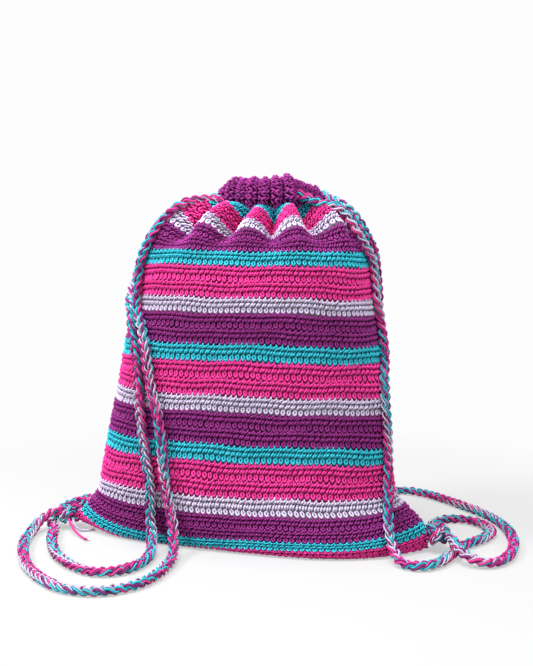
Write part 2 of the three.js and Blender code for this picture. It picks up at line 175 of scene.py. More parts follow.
BACKING_COLUMNS = 180
BACKING_DEPTH = 0.8
HEM_BACKING_DEPTH = 2.2

# Plaited cord: three strands of four yarns

CORD_STEP = 1.8
CORD_SINK = 0.9
PLAIT_PERIOD = 27.5
PLAIT_SWING = 2.95
PLAIT_RISE = 2.35
BUNDLE_WIDE = 1.85
BUNDLE_DEEP = 1.4
YARN_RADII = [1.02, 1.08, 1.14, 0.98]
YARN_ORDER = [[0, 2, 1, 3], [0, 1, 2, 3], [2, 0, 1, 3]]
TURNING_STEP = 45

# From this height down, the flat side of a cord turns from facing off the bag to facing up

FLAT_FROM = 30
FLAT_OVER = 18

# Yarn: sides of each length, how far one ply runs in half a twist, and map units in a millimetre

YARN_SIDES = 4
PLY_LENGTH = 2.3
MAP_SCALE = 0.1

# Routes of the cords: corner knot, floor, up the bag, round the tunnel and back

LEFT_ROUTE = [
    (-199, -2, 18.5), (-209, -6, 19), (-217.5, -19, 13), (-219, -39, 6), (-215, -62, 6),
    (-203, -97, 6), (-182, -137, 6), (-158, -166, 6), (-136, -185, 6), (-115, -194, 6),
    (-94, -194, 6), (-75, -184, 6), (-60, -165, 6), (-52, -138, 6), (-50, -108, 6.5), (-52, -84, 9),
    (-56.5, -69, 17), (-61, -58, 31), (-65, -58.5, 54), (-68, -60, 74.5), (-70, -62, 112.5),
    (-74.5, -63, 143.5), (-80.5, -62.5, 168), (-84.5, -62.5, 195.5), (-90, -59.5, 225.5),
    (-97.5, -51, 247), (-96.5, -49.5, 269.5), (-91.5, -52.5, 292.5), (-83, -53.5, 311),
    (-70, -49.3, 330.5), (-55.5, -43.5, 344), (-40, -35, 349.5), (-24, -28, 350.5), (-8, -27, 347),
    (8, -28.3, 344.5), (23, -29.5, 344.5), (37, -27.5, 344.5), (48.5, -21, 344.5),
    (56.5, -11.5, 344.5), (59, 0, 344.5), (56.5, 11.5, 344.5), (48.5, 21, 344.5), (37, 27.5, 344.5),
    (23, 29.5, 344.5), (8, 28.3, 344.5), (-8, 28, 347), (-24, 32, 350.5), (-40, 38.5, 349.5),
    (-56, 42.5, 342.5), (-76.5, 42, 331), (-97, 28.5, 315), (-110, 17, 294), (-115, 0, 268),
    (-114, -22.5, 250), (-106.5, -41.5, 241), (-102.5, -50.5, 221), (-96.5, -56, 195.5),
    (-95, -56.5, 168), (-92.5, -57, 133.5), (-89, -57, 102), (-84.5, -56.5, 72.5), (-84, -55, 52),
    (-85, -54, 33), (-81, -62, 18), (-76, -78, 9), (-75, -98, 6), (-80, -121, 6), (-92, -137, 6),
    (-108, -143, 6), (-125, -139, 6), (-148, -122, 6), (-169, -97, 6), (-189, -57, 6),
    (-201, -20, 6), (-210.5, -4, 6), (-215, 12, 7), (-214, 30, 11), (-205.5, 45, 15.5),
    (-191, 49, 20), (-179, 40, 23), (-177, 25, 24), (-184, 11, 22),
]
RIGHT_ROUTE = [
    (197, 12, 18), (195, 30, 14), (189, 54, 8), (187, 78, 6), (198, 98, 6), (217, 103, 6),
    (236, 91, 6), (248, 67, 6), (242, 40, 6), (223, 10, 6), (213, -20, 6), (205, -43, 6),
    (194, -59, 6), (180, -64, 6), (167, -57, 7), (158, -43, 16), (152, -31.5, 38),
    (150.8, -22.3, 77.5), (149.5, -18.5, 116), (147.5, -20.5, 146.5), (145.5, -19, 174.5),
    (144.5, -9.5, 199.5), (140.5, -9, 229), (136, -12.5, 258), (134, -10.5, 278), (130.5, -14, 296),
    (118.5, -26.3, 319), (106, -26.7, 336.4), (93.5, -28.4, 344.8), (81, -30.5, 348),
    (67, -31.5, 352.5), (52, -30, 355.8), (38, -29.8, 356), (23, -29.5, 356), (9, -27.5, 356),
    (-2.5, -21, 356), (-10.5, -11.5, 356), (-13, 0, 356), (-10.5, 11.5, 356), (-2.5, 21, 356),
    (9, 27.5, 356), (23, 29.5, 356), (38, 30.5, 356), (53, 30, 355.8), (69, 24.5, 354.5),
    (83, 12, 352), (93, -1, 349), (103.5, -6.5, 342), (113, -7, 333), (122.5, -7.5, 318.5),
    (130.5, 5.5, 300), (133, 17.5, 276), (133, 29.5, 245), (131.5, 38, 207), (129, 43, 165),
    (124, 45, 124), (120.5, 46, 82.5), (119.5, 46, 48.5), (114, 74, 28), (110, 88, 14),
    (107, 106, 7), (107, 135, 6), (113, 170, 6), (124, 196, 6), (143, 208, 6), (172, 197, 6),
    (215, 156, 6), (252, 109, 6), (270, 52, 6), (270, 2, 6), (262, -27, 6), (248, -42, 7),
    (230, -41, 11), (219, -28, 16), (213, -13, 18.5), (206, 0, 19),
]

# Corner knots: size of the turns, middle, and the yarn ends that hang out, each with its colour

KNOT_SIZE = 4.5
KNOT_PLAIT = 0.86
TAIL_HAIRS = 7
LEFT_KNOT = (-192, 1, 16)
RIGHT_KNOT = (196.5, 2, 18)
LEFT_TAILS = [
    (0, [(-189, -10, 13), (-183, -18, 9), (-175, -27, 5), (-166, -35, 2.6), (-158, -42, 2)]),
    (3, [(-185, -8, 13), (-181, -13, 7), (-176, -14, 3), (-170, -11, 1.4), (-163, -7, 1.4)]),
]
RIGHT_TAILS = [
    (0, [(203, -2, 20), (208, -1, 17), (212, 1, 14), (214.5, 3, 12)]),
    (2, [(203, 0, 16), (207, 1, 13), (210, 2, 9), (211, 3, 5)]),
]


# Bag surface

def table_value(values, rows):
    """Value from one of the tables at any row, along a smooth curve."""
    rows = np.asarray(rows, float)
    known = np.array(ROWS, float)
    table = np.array(values, float)
    last = len(known) - 1
    before = np.maximum(np.arange(last + 1) - 1, 0)
    after = np.minimum(np.arange(last + 1) + 1, last)
    slope = (table[after] - table[before]) / (known[after] - known[before])
    i = np.clip(np.searchsorted(known, rows) - 1, 0, last - 1)
    h = known[i + 1] - known[i]
    s = np.clip((rows - known[i]) / h, 0, 1)
    s2 = s * s
    s3 = s2 * s
    lower = (2 * s3 - 3 * s2 + 1) * table[i] + (s3 - 2 * s2 + s) * h * slope[i]
    upper = (3 * s2 - 2 * s3) * table[i + 1] + (s3 - s2) * h * slope[i + 1]
    return lower + upper


def wall_ring(row, rounds, inset_x=0.0, inset_y=0.0, rise=0.0):
    """Plain wall at one row. The way round starts at the right side and passes the front first."""
    a = float(table_value(HALF_WIDTH, row)) - inset_x
    b = float(table_value(HALF_DEPTH, row)) - inset_y
    t = np.linspace(0, math.pi / 2, 181)
    xs = a * np.abs(np.cos(t)) ** (2 / float(table_value(POWER_X, row)))
    ys = b * np.sin(t) ** (2 / float(table_value(POWER_Y, row)))
    run = np.concatenate([[0.0], np.cumsum(np.hypot(np.diff(xs), np.diff(ys)))])
    run /= run[-1]
    u = np.asarray(rounds) % 1.0
    part = np.minimum(3, np.floor(u * 4)).astype(int)
    f = u * 4 - part
    share = np.where(part % 2 == 0, f, 1 - f)
    x = np.interp(share, run, xs)
    y = np.interp(share, run, ys)
    right = (part == 0) | (part == 3)
    front = float(table_value(FRONT_Z, row))
    side = np.where(right, table_value(RIGHT_Z, row), table_value(LEFT_Z, row))
    across = np.where(right, x, -x) / a
    bulge = 1 - across**2
    forward = float(table_value(SEAM_FORWARD, row)) * (1 + SEAM_SKEW * across) * bulge
    tuck = min(1, row / 4) ** 1.5 * (1 - np.abs(across) ** 3)
    lifted = float(table_value(FRONT_RAISE, row)) * tuck * (0.7 + 0.75 * across)
    z = front + (side - front) * (x / a) ** float(table_value(SIDE_POWER, row)) + rise
    z = z + np.where(part < 2, lifted, 0)
    x = across * a + float(table_value(SHIFT, row))
    return np.stack([x, np.where(part < 2, -y, y) - forward, z], axis=1)


def outward(rings):
    """Outward directions of a grid of rings."""
    across = np.roll(rings, -1, axis=1) - np.roll(rings, 1, axis=1)
    up = np.gradient(rings, axis=0)
    out = np.cross(up, across)
    return out / np.maximum(np.linalg.norm(out, axis=2, keepdims=True), 1e-9)


def gathers(rounds):
    """Folds of the neck: crests and deeper valleys, not all alike."""
    place = FOLDS * (rounds - FOLD_START)
    wave = np.cos(2 * math.pi * place)
    crest = np.array(CREST_HEIGHT)[(np.round(place) % FOLDS).astype(int)]
    valley = np.array(VALLEY_DEPTH)[(np.round(place + 0.5) % FOLDS).astype(int)]
    return wave * np.where(wave >= 0, crest, valley)


def hem_ring(ring, rounds):
    """One ring of the gathered hem with its puffs."""
    _, half_x, half_y, height, share = ring
    place = PUFFS * (rounds - FOLD_START)
    lobe = np.abs(np.cos(math.pi * place))
    sizes = np.array(PUFF_SIZES)[(np.round(place) % PUFFS).astype(int)]
    puff = share * PUFF_HEIGHT * (lobe**PUFF_FULLNESS * sizes - PUFF_MIDDLE)
    angle = rounds * 2 * math.pi + share * PUFF_ROUNDNESS * np.sin(2 * math.pi * place) / PUFFS
    sideways = puff * (1 if half_x > INSIDE_HALF_WIDTH else INSIDE_PUFF)
    low = HEM_TOP_SIDES * np.cos(angle) ** 6 + HEM_BACK_DROP * (1 - np.sin(angle)) / 2
    lift = (puff * PUFF_LIFT - low) if share else 0 * puff
    steep = min(1.0, max(0.0, (height - LIFT_FROM) / LIFT_OVER))
    x = HEM_CENTRE + HEM_LEAN * share + (half_x + sideways) * np.cos(angle)
    y = -(half_y + sideways) * np.sin(angle)
    return np.stack([x, y, height + lift * steep], axis=1)


# Grid that the whole outside is kept in: a ring of points for each tenth of a row. The hem's curve
# starts from the ring half a row under the last row of the wall

GRID_STEP = 0.1
GRID_ROUND = 960
GRID_TOP = 63.3
HALF_ROW_DOWN = -6


def bag_grid():
    """Points and outward directions of the whole outside, from the bottom seam to the throat."""
    rounds = np.arange(GRID_ROUND) / GRID_ROUND
    rows = np.arange(0, LAST_ROW + GRID_STEP / 2, GRID_STEP)
    rings = np.stack([wall_ring(row, rounds) for row in rows])
    fold = table_value(FOLD_DEPTH, rows)[:, None] * gathers(rounds)[None, :]
    fold[rows < NECK_START_ROW] = 0
    rings += outward(rings) * fold[:, :, None]
    low = rings[:, :, 2]
    curved = BOTTOM_LOWEST + BOTTOM_CURVE * np.exp((low - BOTTOM_FROM) / BOTTOM_CURVE)
    rings[:, :, 2] = np.where(low > BOTTOM_FROM, low, curved)
    known = [rows[HALF_ROW_DOWN], rows[-1]] + [ring[0] for ring in HEM_RINGS]
    shapes = [rings[HALF_ROW_DOWN], rings[-1]] + [hem_ring(ring, rounds) for ring in HEM_RINGS]
    known = np.array(known)
    shapes = np.stack(shapes)
    slopes = np.stack([
        (shapes[min(k + 1, len(known) - 1)] - shapes[max(k - 1, 0)])
        / (known[min(k + 1, len(known) - 1)] - known[max(k - 1, 0)])
        for k in range(len(known))
    ])
    above = []
    for row in np.arange(LAST_ROW + GRID_STEP, GRID_TOP + GRID_STEP / 2, GRID_STEP):
        k = int(np.clip(np.searchsorted(known, row) - 1, 0, len(known) - 2))
        h = known[k + 1] - known[k]
        s = min(1.0, (row - known[k]) / h)
        lower = (2 * s**3 - 3 * s**2 + 1) * shapes[k] + (s**3 - 2 * s**2 + s) * h * slopes[k]
        upper = (3 * s**2 - 2 * s**3) * shapes[k + 1] + (s**3 - s**2) * h * slopes[k + 1]
        above.append(lower + upper)
    rings = np.concatenate([rings, np.stack(above)])
    return rings, outward(rings)


PLACE, OUT = bag_grid()


def on_bag(rows, rounds, lift):
    """Points in metres at rows and shares of the way round, lifted off the wall."""
    r = np.clip(rows / GRID_STEP, 0, len(PLACE) - 1.001)
    u = (rounds % 1.0) * GRID_ROUND
    r0 = r.astype(int)
    u0 = u.astype(int) % GRID_ROUND
    u1 = (u0 + 1) % GRID_ROUND
    fr = (r - r0)[..., None]
    fu = (u - np.floor(u))[..., None]

    def blend(grid):
        lower = grid[r0, u0] * (1 - fu) + grid[r0, u1] * fu
        upper = grid[r0 + 1, u0] * (1 - fu) + grid[r0 + 1, u1] * fu
        return lower * (1 - fr) + upper * fr

    return (blend(PLACE) + blend(OUT) * lift[..., None]) * MM


# Meshes

def new_piece(name, mesh, material_list):
    """Adds one piece to the scene with its yarns, riding on the bag."""
    piece = bpy.data.objects.new(name, mesh)
    bpy.context.scene.collection.objects.link(piece)
    for material in material_list:
        mesh.materials.append(material)
    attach(piece, "root")
    return piece


def mesh_of_loops(name, points, sizes, corners, shades, yarn_map):
    """Mesh of many like loops of yarn, with the yarn's own length and turn in its map."""
    mesh = bpy.data.meshes.new(name)
    mesh.vertices.add(len(points))
    mesh.vertices.foreach_set("co", np.ascontiguousarray(points, np.float32).ravel())
    mesh.loops.add(len(corners))
    mesh.loops.foreach_set("vertex_index", np.ascontiguousarray(corners, np.int32))
    starts = np.concatenate([[0], np.cumsum(sizes)[:-1]]).astype(np.int32)
    mesh.polygons.add(len(sizes))
    mesh.polygons.foreach_set("loop_start", starts)
    mesh.polygons.foreach_set("material_index", np.ascontiguousarray(shades, np.int32))
    mesh.update(calc_edges=True)
    mesh.polygons.foreach_set("use_smooth", np.ones(len(sizes), bool))
    layer = mesh.uv_layers.new(name="yarn_map")
    layer.data.foreach_set("uv", np.ascontiguousarray(yarn_map, np.float32).ravel())
    mesh.validate()
    mesh.update()
    return mesh


# One unit of the stitch, two rows high, drawn flat and laid over the bag. Each length has the
# number of its yarn, its points and its radii. A point is a share of the stitch across, a share of
# the unit down, and a height in millimetres

STITCH_LENGTHS = [
    (
        0, [(-0.12, 0.13, 0.3), (0.12, 0.07, 1.6), (0.36, -0.01, 2.3), (0.56, -0.08, 0.6)],
        [0.75, 1.0, 0.95, 0.7],
    ),
    (
        1, [(0.36, 0.16, 0.3), (0.58, 0.1, 1.7), (0.82, 0.03, 2.4), (1.02, -0.03, 0.6)],
        [0.75, 1.0, 1.0, 0.7],
    ),
    (0, [(0.68, 0.02, 1.0), (0.645, -0.07, 2.1), (0.62, -0.18, 1.1)], [0.85, 1.0, 0.7]),
    (
        2, [(-0.06, 0.51, 0.4), (0.15, 0.4, 1.8), (0.36, 0.29, 2.2), (0.54, 0.2, 0.5)],
        [0.8, 1.02, 1.0, 0.75],
    ),
    (3, [(0.44, 0.46, 0.4), (0.69, 0.34, 2.3), (0.94, 0.22, 0.5)], [0.85, 1.08, 0.8]),
]
HEM_LENGTHS = [
    (
        0, [(-0.1, 0.18, 0.3), (0.25, 0.09, 1.6), (0.72, -0.02, 1.8), (1.06, -0.05, 0.4)],
        [1.1, 1.45, 1.4, 1.0],
    ),
    (
        1, [(0.0, 0.17, 0.3), (0.35, 0.26, 1.6), (0.75, 0.37, 1.7), (1.05, 0.48, 0.4)],
        [1.05, 1.35, 1.35, 1.0],
    ),
    (
        2, [(-0.08, 0.7, 0.3), (0.28, 0.6, 1.8), (0.7, 0.49, 1.7), (1.05, 0.42, 0.4)],
        [1.1, 1.45, 1.4, 1.0],
    ),
    (
        3, [(0.02, 0.68, 0.3), (0.38, 0.77, 1.7), (0.76, 0.88, 1.6), (1.06, 0.98, 0.4)],
        [1.05, 1.35, 1.35, 1.0],
    ),
]

# The ring of yarn that hangs under each stitch

ROUND_END_POINTS = 8
ROUND_END_RADIUS = 1.08


def sweep_yarn(bm, marks, line, radii, strand, closed=False):
    """Sweeps one length of yarn along a line of points, closing its ends or joining them."""
    line = [Vector(p) for p in line]
    count = len(line)
    first = bmesh.ops.create_circle(bm, cap_ends=False, segments=YARN_SIDES, radius=1)["verts"]
    for i, vert in enumerate(first):
        vert[marks["turn"]] = i / YARN_SIDES
    ring = list(first)
    edges = []
    for vert in first:
        edges += [edge for edge in vert.link_edges if edge not in edges]
    run = 0.0
    previous = None
    rings = []
    for k in range(count):
        if k:
            run += (line[k] - line[k - 1]).length
            made = bmesh.ops.extrude_edge_only(bm, edges=edges)["geom"]
            ring = [g for g in made if isinstance(g, bmesh.types.BMVert)]
            edges = [g for g in made if isinstance(g, bmesh.types.BMEdge)]
        if closed:
            ahead = line[(k + 1) % count] - line[k - 1]
        else:
            ahead = line[min(k + 1, count - 1)] - line[max(k - 1, 0)]
        ahead.normalize()
        side = ahead.cross(Vector((0, 0, 1)))
        if side.length < 0.1:
            side = previous or Vector((1, 0, 0))
        side.normalize()
        previous = side.copy()
        up = side.cross(ahead)
        for vert in ring:
            turn = vert[marks["turn"]] * 2 * math.pi
            vert.co = line[k] + (side * math.cos(turn) + up * math.sin(turn)) * radii[k]
            vert[marks["run"]] = run
            vert[marks["strand"]] = strand
        rings.append((list(ring), list(edges)))
    if closed:
        bmesh.ops.bridge_loops(bm, edges=rings[0][1] + rings[-1][1])
    else:
        for ring, edges in (rings[0], rings[-1]):
            bmesh.ops.contextual_create(bm, geom=ring)


def yarn_unit(lengths, with_round_end):
    """The lengths of yarn that one stitch shows, and the round end that hangs under it."""
    bm = bmesh.new()
    marks = {
        "turn": bm.verts.layers.float.new("turn"),
        "run": bm.verts.layers.float.new("run"),
        "strand": bm.verts.layers.int.new("strand"),
    }

    def flat(points):
        return [(c * STITCH_WIDTH, -v * UNIT_HEIGHT, h) for c, v, h in points]

    for strand, points, radii in lengths:
        sweep_yarn(bm, marks, flat(points), radii, strand)
    if with_round_end:
        loop = []
        for k in range(ROUND_END_POINTS):
            turn = 2 * math.pi * k / ROUND_END_POINTS
            low = 0.5 - 0.5 * math.cos(turn)
            wide = 0.285 - 0.065 * low
            loop.append((0.8 + wide * math.sin(turn), 0.56 + 0.275 * low, 0.9 + 1.0 * low))
        sweep_yarn(bm, marks, flat(loop), [ROUND_END_RADIUS] * ROUND_END_POINTS, 4, closed=True)
    bmesh.ops.recalc_face_normals(bm, faces=bm.faces)
    bm.verts.index_update()
    points = np.array([v.co for v in bm.verts])
    points[:, 0] /= STITCH_WIDTH
    points[:, 1] /= -UNIT_HEIGHT
    strands = np.array([v[marks["strand"]] for v in bm.verts])
    sizes, corners, yarn_map = [], [], []
    for face in bm.faces:
        sizes.append(len(face.verts))
        turns = [v[marks["turn"]] for v in face.verts]
        wraps = max(turns) - min(turns) > 0.5
        for vert, turn in zip(face.verts, turns):
            corners.append(vert.index)
            turned = turn + (1 if wraps and turn < 0.5 else 0)
            yarn_map.append((vert[marks["run"]] * MAP_SCALE, turned))
    bm.free()
    return points, strands, np.array(sizes), np.array(corners), np.array(yarn_map)


def lay_stitches(name, tops, around, seed, hem=False):
    """Lays the stitch unit over the bag, one for each stitch of each pair of rows."""
    unit_rows = HEM_UNIT_ROWS if hem else UNIT_ROWS
    spreads = HEM_SPREAD if hem else STITCH_SPREAD
    points, strands, sizes, corners, yarn_map = HEM_UNIT if hem else STITCH_UNIT
    chance = np.random.default_rng(seed)
    placed, shades = [], []
    for top in tops:
        pair = int(top // 2 - 1)
        column = np.arange(around)[:, None]
        shift, drop, lift = [
            chance.normal(0, spread, (around, 5))[:, strands] for spread in spreads
        ]
        size = 1 + chance.normal(0, SIZE_SPREAD, (around, 1))
        middle = points[:, 0].mean()
        c = middle + (points[None, :, 0] - middle) * size + shift
        along = column + c - LEAN * pair
        if hem:
            middle_of_puff = (column // PUFF_COLUMNS + 0.5) * PUFF_COLUMNS
            along = middle_of_puff + (column + c - middle_of_puff) * PUFF_SHARE + HEM_OFFSET
        v = points[None, :, 1] + drop
        rounds = -along / around
        wander = sum(
            far * np.sin(2 * math.pi * waves * rounds + drift * pair) for far, waves, drift in WANDER
        )
        rows = top - unit_rows * v + (0 if hem else wander * min(1.0, top / WANDER_FULL_ROW))
        height = points[None, :, 2] + lift - YARN_SINK
        if hem:
            crest = np.abs(np.cos(math.pi * PUFFS * (rounds - FOLD_START)))
            height = height * (VALLEY_YARN + CREST_YARN * crest)
        placed.append(on_bag(rows, rounds, height))
        stripe = HEM_STRIPE if hem else STRIPES[pair % len(STRIPES)]
        shades.append(np.full(around * len(sizes), stripe))
    units = around * len(tops)
    all_points = np.concatenate(placed).reshape(-1, 3)
    all_points[:, 2] = np.maximum(all_points[:, 2], FLOOR_GAP * MM)
    every = (corners[None, :] + (np.arange(units) * len(points))[:, None]).ravel()
    mesh = mesh_of_loops(
        name, all_points, np.tile(sizes, units), every, np.concatenate(shades),
        np.tile(yarn_map, (units, 1)),
    )
    piece = new_piece(name, mesh, YARNS)
    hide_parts("bag_body")


def build_backing():
    """The closed fabric behind the stitches: outside, hem, throat and inside of the bag."""
    around = BACKING_COLUMNS
    rounds = np.arange(around) / around
    levels = []
    for row in np.concatenate([np.arange(0, LAST_ROW, 1), np.arange(LAST_ROW, GRID_TOP, 0.5)]):
        here = np.full(around, float(row))
        depth = HEM_BACKING_DEPTH if row > LAST_ROW else BACKING_DEPTH
        levels.append((on_bag(here, rounds, np.full(around, -depth)), row))
    angle = rounds * 2 * math.pi
    for half_x, half_y, height in THROAT_RINGS:
        middle = HEM_CENTRE - min(1, (half_x - MOUTH_HALF_WIDTH) / THROAT_WIDENS) * THROAT_SHIFT
        ring = [middle + half_x * np.cos(angle), -half_y * np.sin(angle), 0 * angle + height]
        levels.append((np.stack(ring, axis=1) * MM, THROAT_ROW))
    for row, inset_x, inset_y, rise in INNER_RINGS:
        levels.append((wall_ring(row, rounds, inset_x, inset_y, rise) * MM, row))
    bm = bmesh.new()
    column = bm.verts.layers.int.new("column")
    verts = bmesh.ops.create_circle(bm, cap_ends=False, segments=around, radius=1)["verts"]
    for i, vert in enumerate(verts):
        vert[column] = i
    edges = list(bm.edges)
    foot = list(edges)
    for place, (ring, row) in enumerate(levels):
        faces = []
        if place:
            made = bmesh.ops.extrude_edge_only(bm, edges=edges)["geom"]
            verts = [g for g in made if isinstance(g, bmesh.types.BMVert)]
            edges = [g for g in made if isinstance(g, bmesh.types.BMEdge)]
            faces = [g for g in made if isinstance(g, bmesh.types.BMFace)]
        for vert in verts:
            vert.co = ring[vert[column]]
        stripe = STRIPES[int(max(row - 0.5, 0) // 2) % len(STRIPES)]
        for face in faces:
            face.material_index = HEM_STRIPE if row > LAST_ROW else stripe
            face.smooth = True
    bmesh.ops.holes_fill(bm, edges=foot, sides=0)
    bmesh.ops.holes_fill(bm, edges=edges, sides=0)
    bmesh.ops.recalc_face_normals(bm, faces=bm.faces)
    mesh = bpy.data.meshes.new("fabric_backing")
    bm.to_mesh(mesh)
    bm.free()
    # The fabric takes the darkened yarn colours: painted shading between the stitches
    piece = new_piece("fabric_backing", mesh, SHADOWED)
    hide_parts("bag_body")


# Plaited cords

def smooth_route(route, step):
    """Even points along one smooth curve through the route's points."""
    p = np.array(route, float)
    p = np.concatenate([[2 * p[0] - p[1]], p, [2 * p[-1] - p[-2]]])
    t = np.linspace(0, 1, 24, endpoint=False)[:, None]
    fine = []
    for k in range(1, len(p) - 2):
        a, b, c, d = p[k - 1], p[k], p[k + 1], p[k + 2]
        fine.append(0.5 * (
            2 * b + (c - a) * t + (2 * a - 5 * b + 4 * c - d) * t**2
            + (3 * b - a - 3 * c + d) * t**3
        ))
    fine = np.concatenate(fine + [p[-2][None]])
    run = np.concatenate([[0], np.cumsum(np.linalg.norm(np.diff(fine, axis=0), axis=1))])
    goal = np.linspace(0, run[-1], int(round(run[-1] / step)) + 1)
    return np.stack([np.interp(goal, run, fine[:, k]) for k in range(3)], axis=1), goal


def soften(values, width):
    """Running average of a row of directions."""
    kernel = np.hanning(2 * width + 3)[1:-1]
    kernel /= kernel.sum()
    padded = np.concatenate([[values[0]] * width, values, [values[-1]] * width])
    return np.stack([np.convolve(padded[:, k], kernel, "valid") for k in range(3)], axis=1)


def flat_side(line):
    """Direction that the flat side of a plait faces: off the bag on the bag, up on the floor."""
    places = PLACE[::5, ::8].reshape(-1, 3)
    outs = OUT[::5, ::8].reshape(-1, 3)
    tree = KDTree(len(places))
    for i, place in enumerate(places):
        tree.insert(place, i)
    tree.balance()
    facing = []
    for p in line:
        _, i, _ = tree.find(p)
        low = float(np.clip((FLAT_FROM - p[2]) / FLAT_OVER, 0, 1))
        facing.append(outs[i] * (1 - low) + np.array([0, 0, 1.0]) * low)
    return soften(np.array(facing), 9)


def frames_along(line, facing):
    """Directions ahead, outwards and across at each point of a line."""
    ahead = np.gradient(line, axis=0)
    ahead /= np.linalg.norm(ahead, axis=1, keepdims=True)
    out = facing - (facing * ahead).sum(1, keepdims=True) * ahead
    out /= np.linalg.norm(out, axis=1, keepdims=True)
    return ahead, out, np.cross(ahead, out)


def yarn_tube(line, radius, sides, slot_index):
    """Rings of points round a line of yarn, with faces between them and at both ends."""
    ahead = np.gradient(line, axis=0)
    ahead /= np.maximum(np.linalg.norm(ahead, axis=1, keepdims=True), 1e-9)
    helper = np.zeros_like(ahead)
    side = np.cross(ahead[0], [0.3, 0.5, 0.81])
    for i in range(len(line)):
        side = side - ahead[i] * np.dot(side, ahead[i])
        side = side / np.linalg.norm(side)
        helper[i] = side
    up = np.cross(ahead, helper)
    turn = np.arange(sides) / sides * 2 * math.pi
    ring = helper[:, None] * np.cos(turn)[None, :, None] + up[:, None] * np.sin(turn)[None, :, None]
    points = line[:, None] + ring * np.asarray(radius).reshape(-1, 1, 1)
    count = len(line)
    run = np.concatenate([[0], np.cumsum(np.linalg.norm(np.diff(line, axis=0), axis=1))])
    run = run * MAP_SCALE
    i = np.arange(count - 1)[:, None]
    j = np.arange(sides)[None, :]
    k = (j + 1) % sides
    quads = np.stack([i * sides + j, i * sides + k, (i + 1) * sides + k, (i + 1) * sides + j], axis=2)
    near = np.broadcast_to(run[:-1, None], (count - 1, sides))
    far = np.broadcast_to(run[1:, None], (count - 1, sides))
    low = np.broadcast_to(j / sides, (count - 1, sides))
    high = np.broadcast_to((j + 1) / sides, (count - 1, sides))
    mapped = np.stack([
        np.stack([near, low], 2), np.stack([near, high], 2),
        np.stack([far, high], 2), np.stack([far, low], 2),
    ], axis=2)
    caps = np.concatenate([np.arange(sides)[::-1], (count - 1) * sides + np.arange(sides)])
    corners = np.concatenate([quads.reshape(-1), caps])
    sizes = np.concatenate([np.full((count - 1) * sides, 4), [sides, sides]])
    yarn_map = np.concatenate([mapped.reshape(-1, 2), np.zeros((2 * sides, 2))])
    shades = np.full(len(sizes), slot_index)
    return points.reshape(-1, 3), sizes, corners, yarn_map, shades


def join_tubes(name, tubes):
    """One mesh of many tubes of yarn."""
    points, sizes, corners, yarn_map, shades = [], [], [], [], []
    start = 0
    for tube in tubes:
        points.append(tube[0])
        sizes.append(tube[1])
        corners.append(tube[2] + start)
        yarn_map.append(tube[3])
        shades.append(tube[4])
        start += len(tube[0])
    return mesh_of_loops(
        name, np.concatenate(points) * MM, np.concatenate(sizes), np.concatenate(corners),
        np.concatenate(shades), np.concatenate(yarn_map),
    )


def plait(line, run, facing, seed, scale=1.0):
    """The twelve yarns of a three-strand plait along a line, four loosely turning in each strand."""
    chance = np.random.default_rng(seed)
    _, out, across = frames_along(line, facing)
    slow = np.interp(run, np.linspace(0, run[-1], 40), chance.normal(0, 0.2, 40))
    knots = np.linspace(0, run[-1], max(4, int(run[-1] / TURNING_STEP)))
    turning = np.interp(run, knots, np.cumsum(chance.normal(1.5, 1.1, len(knots))))
    tubes = []
    for strand in range(3):
        phase = 2 * math.pi * (run / PLAIT_PERIOD / scale + strand / 3) + slow
        x = PLAIT_SWING * scale * np.sin(phase)
        y = PLAIT_RISE * scale * np.sin(2 * phase)
        middle = line + across * x[:, None] + out * y[:, None]
        _, lift, side = frames_along(middle, out)
        own = np.interp(run, knots, chance.normal(0, 0.25, len(knots)))
        for place, colour in enumerate(YARN_ORDER[strand]):
            angle = turning + own + place * math.pi / 2
            loose = np.interp(run, np.linspace(0, run[-1], 150), chance.normal(1, 0.1, 150))
            centre = (
                middle + side * (BUNDLE_WIDE * scale * loose * np.cos(angle))[:, None]
                + lift * (BUNDLE_DEEP * scale * loose * np.sin(angle))[:, None]
            )
            radius = YARN_RADII[colour] * scale
            centre[:, 2] = np.maximum(centre[:, 2], radius + 0.2)
            tubes.append(yarn_tube(centre, radius, YARN_SIDES, colour))
    return tubes


def build_cord(name, node, route, seed):
    """One plaited cord along its route, tied to the knot that holds both its ends."""
    line, run = smooth_route(route, CORD_STEP)
    facing = flat_side(line)
    _, out, _ = frames_along(line, facing)
    line = line - out * CORD_SINK
    mesh = join_tubes(name, plait(line, run, facing, seed))
    piece = new_piece(name, mesh, CORD_YARNS)
    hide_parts(node)


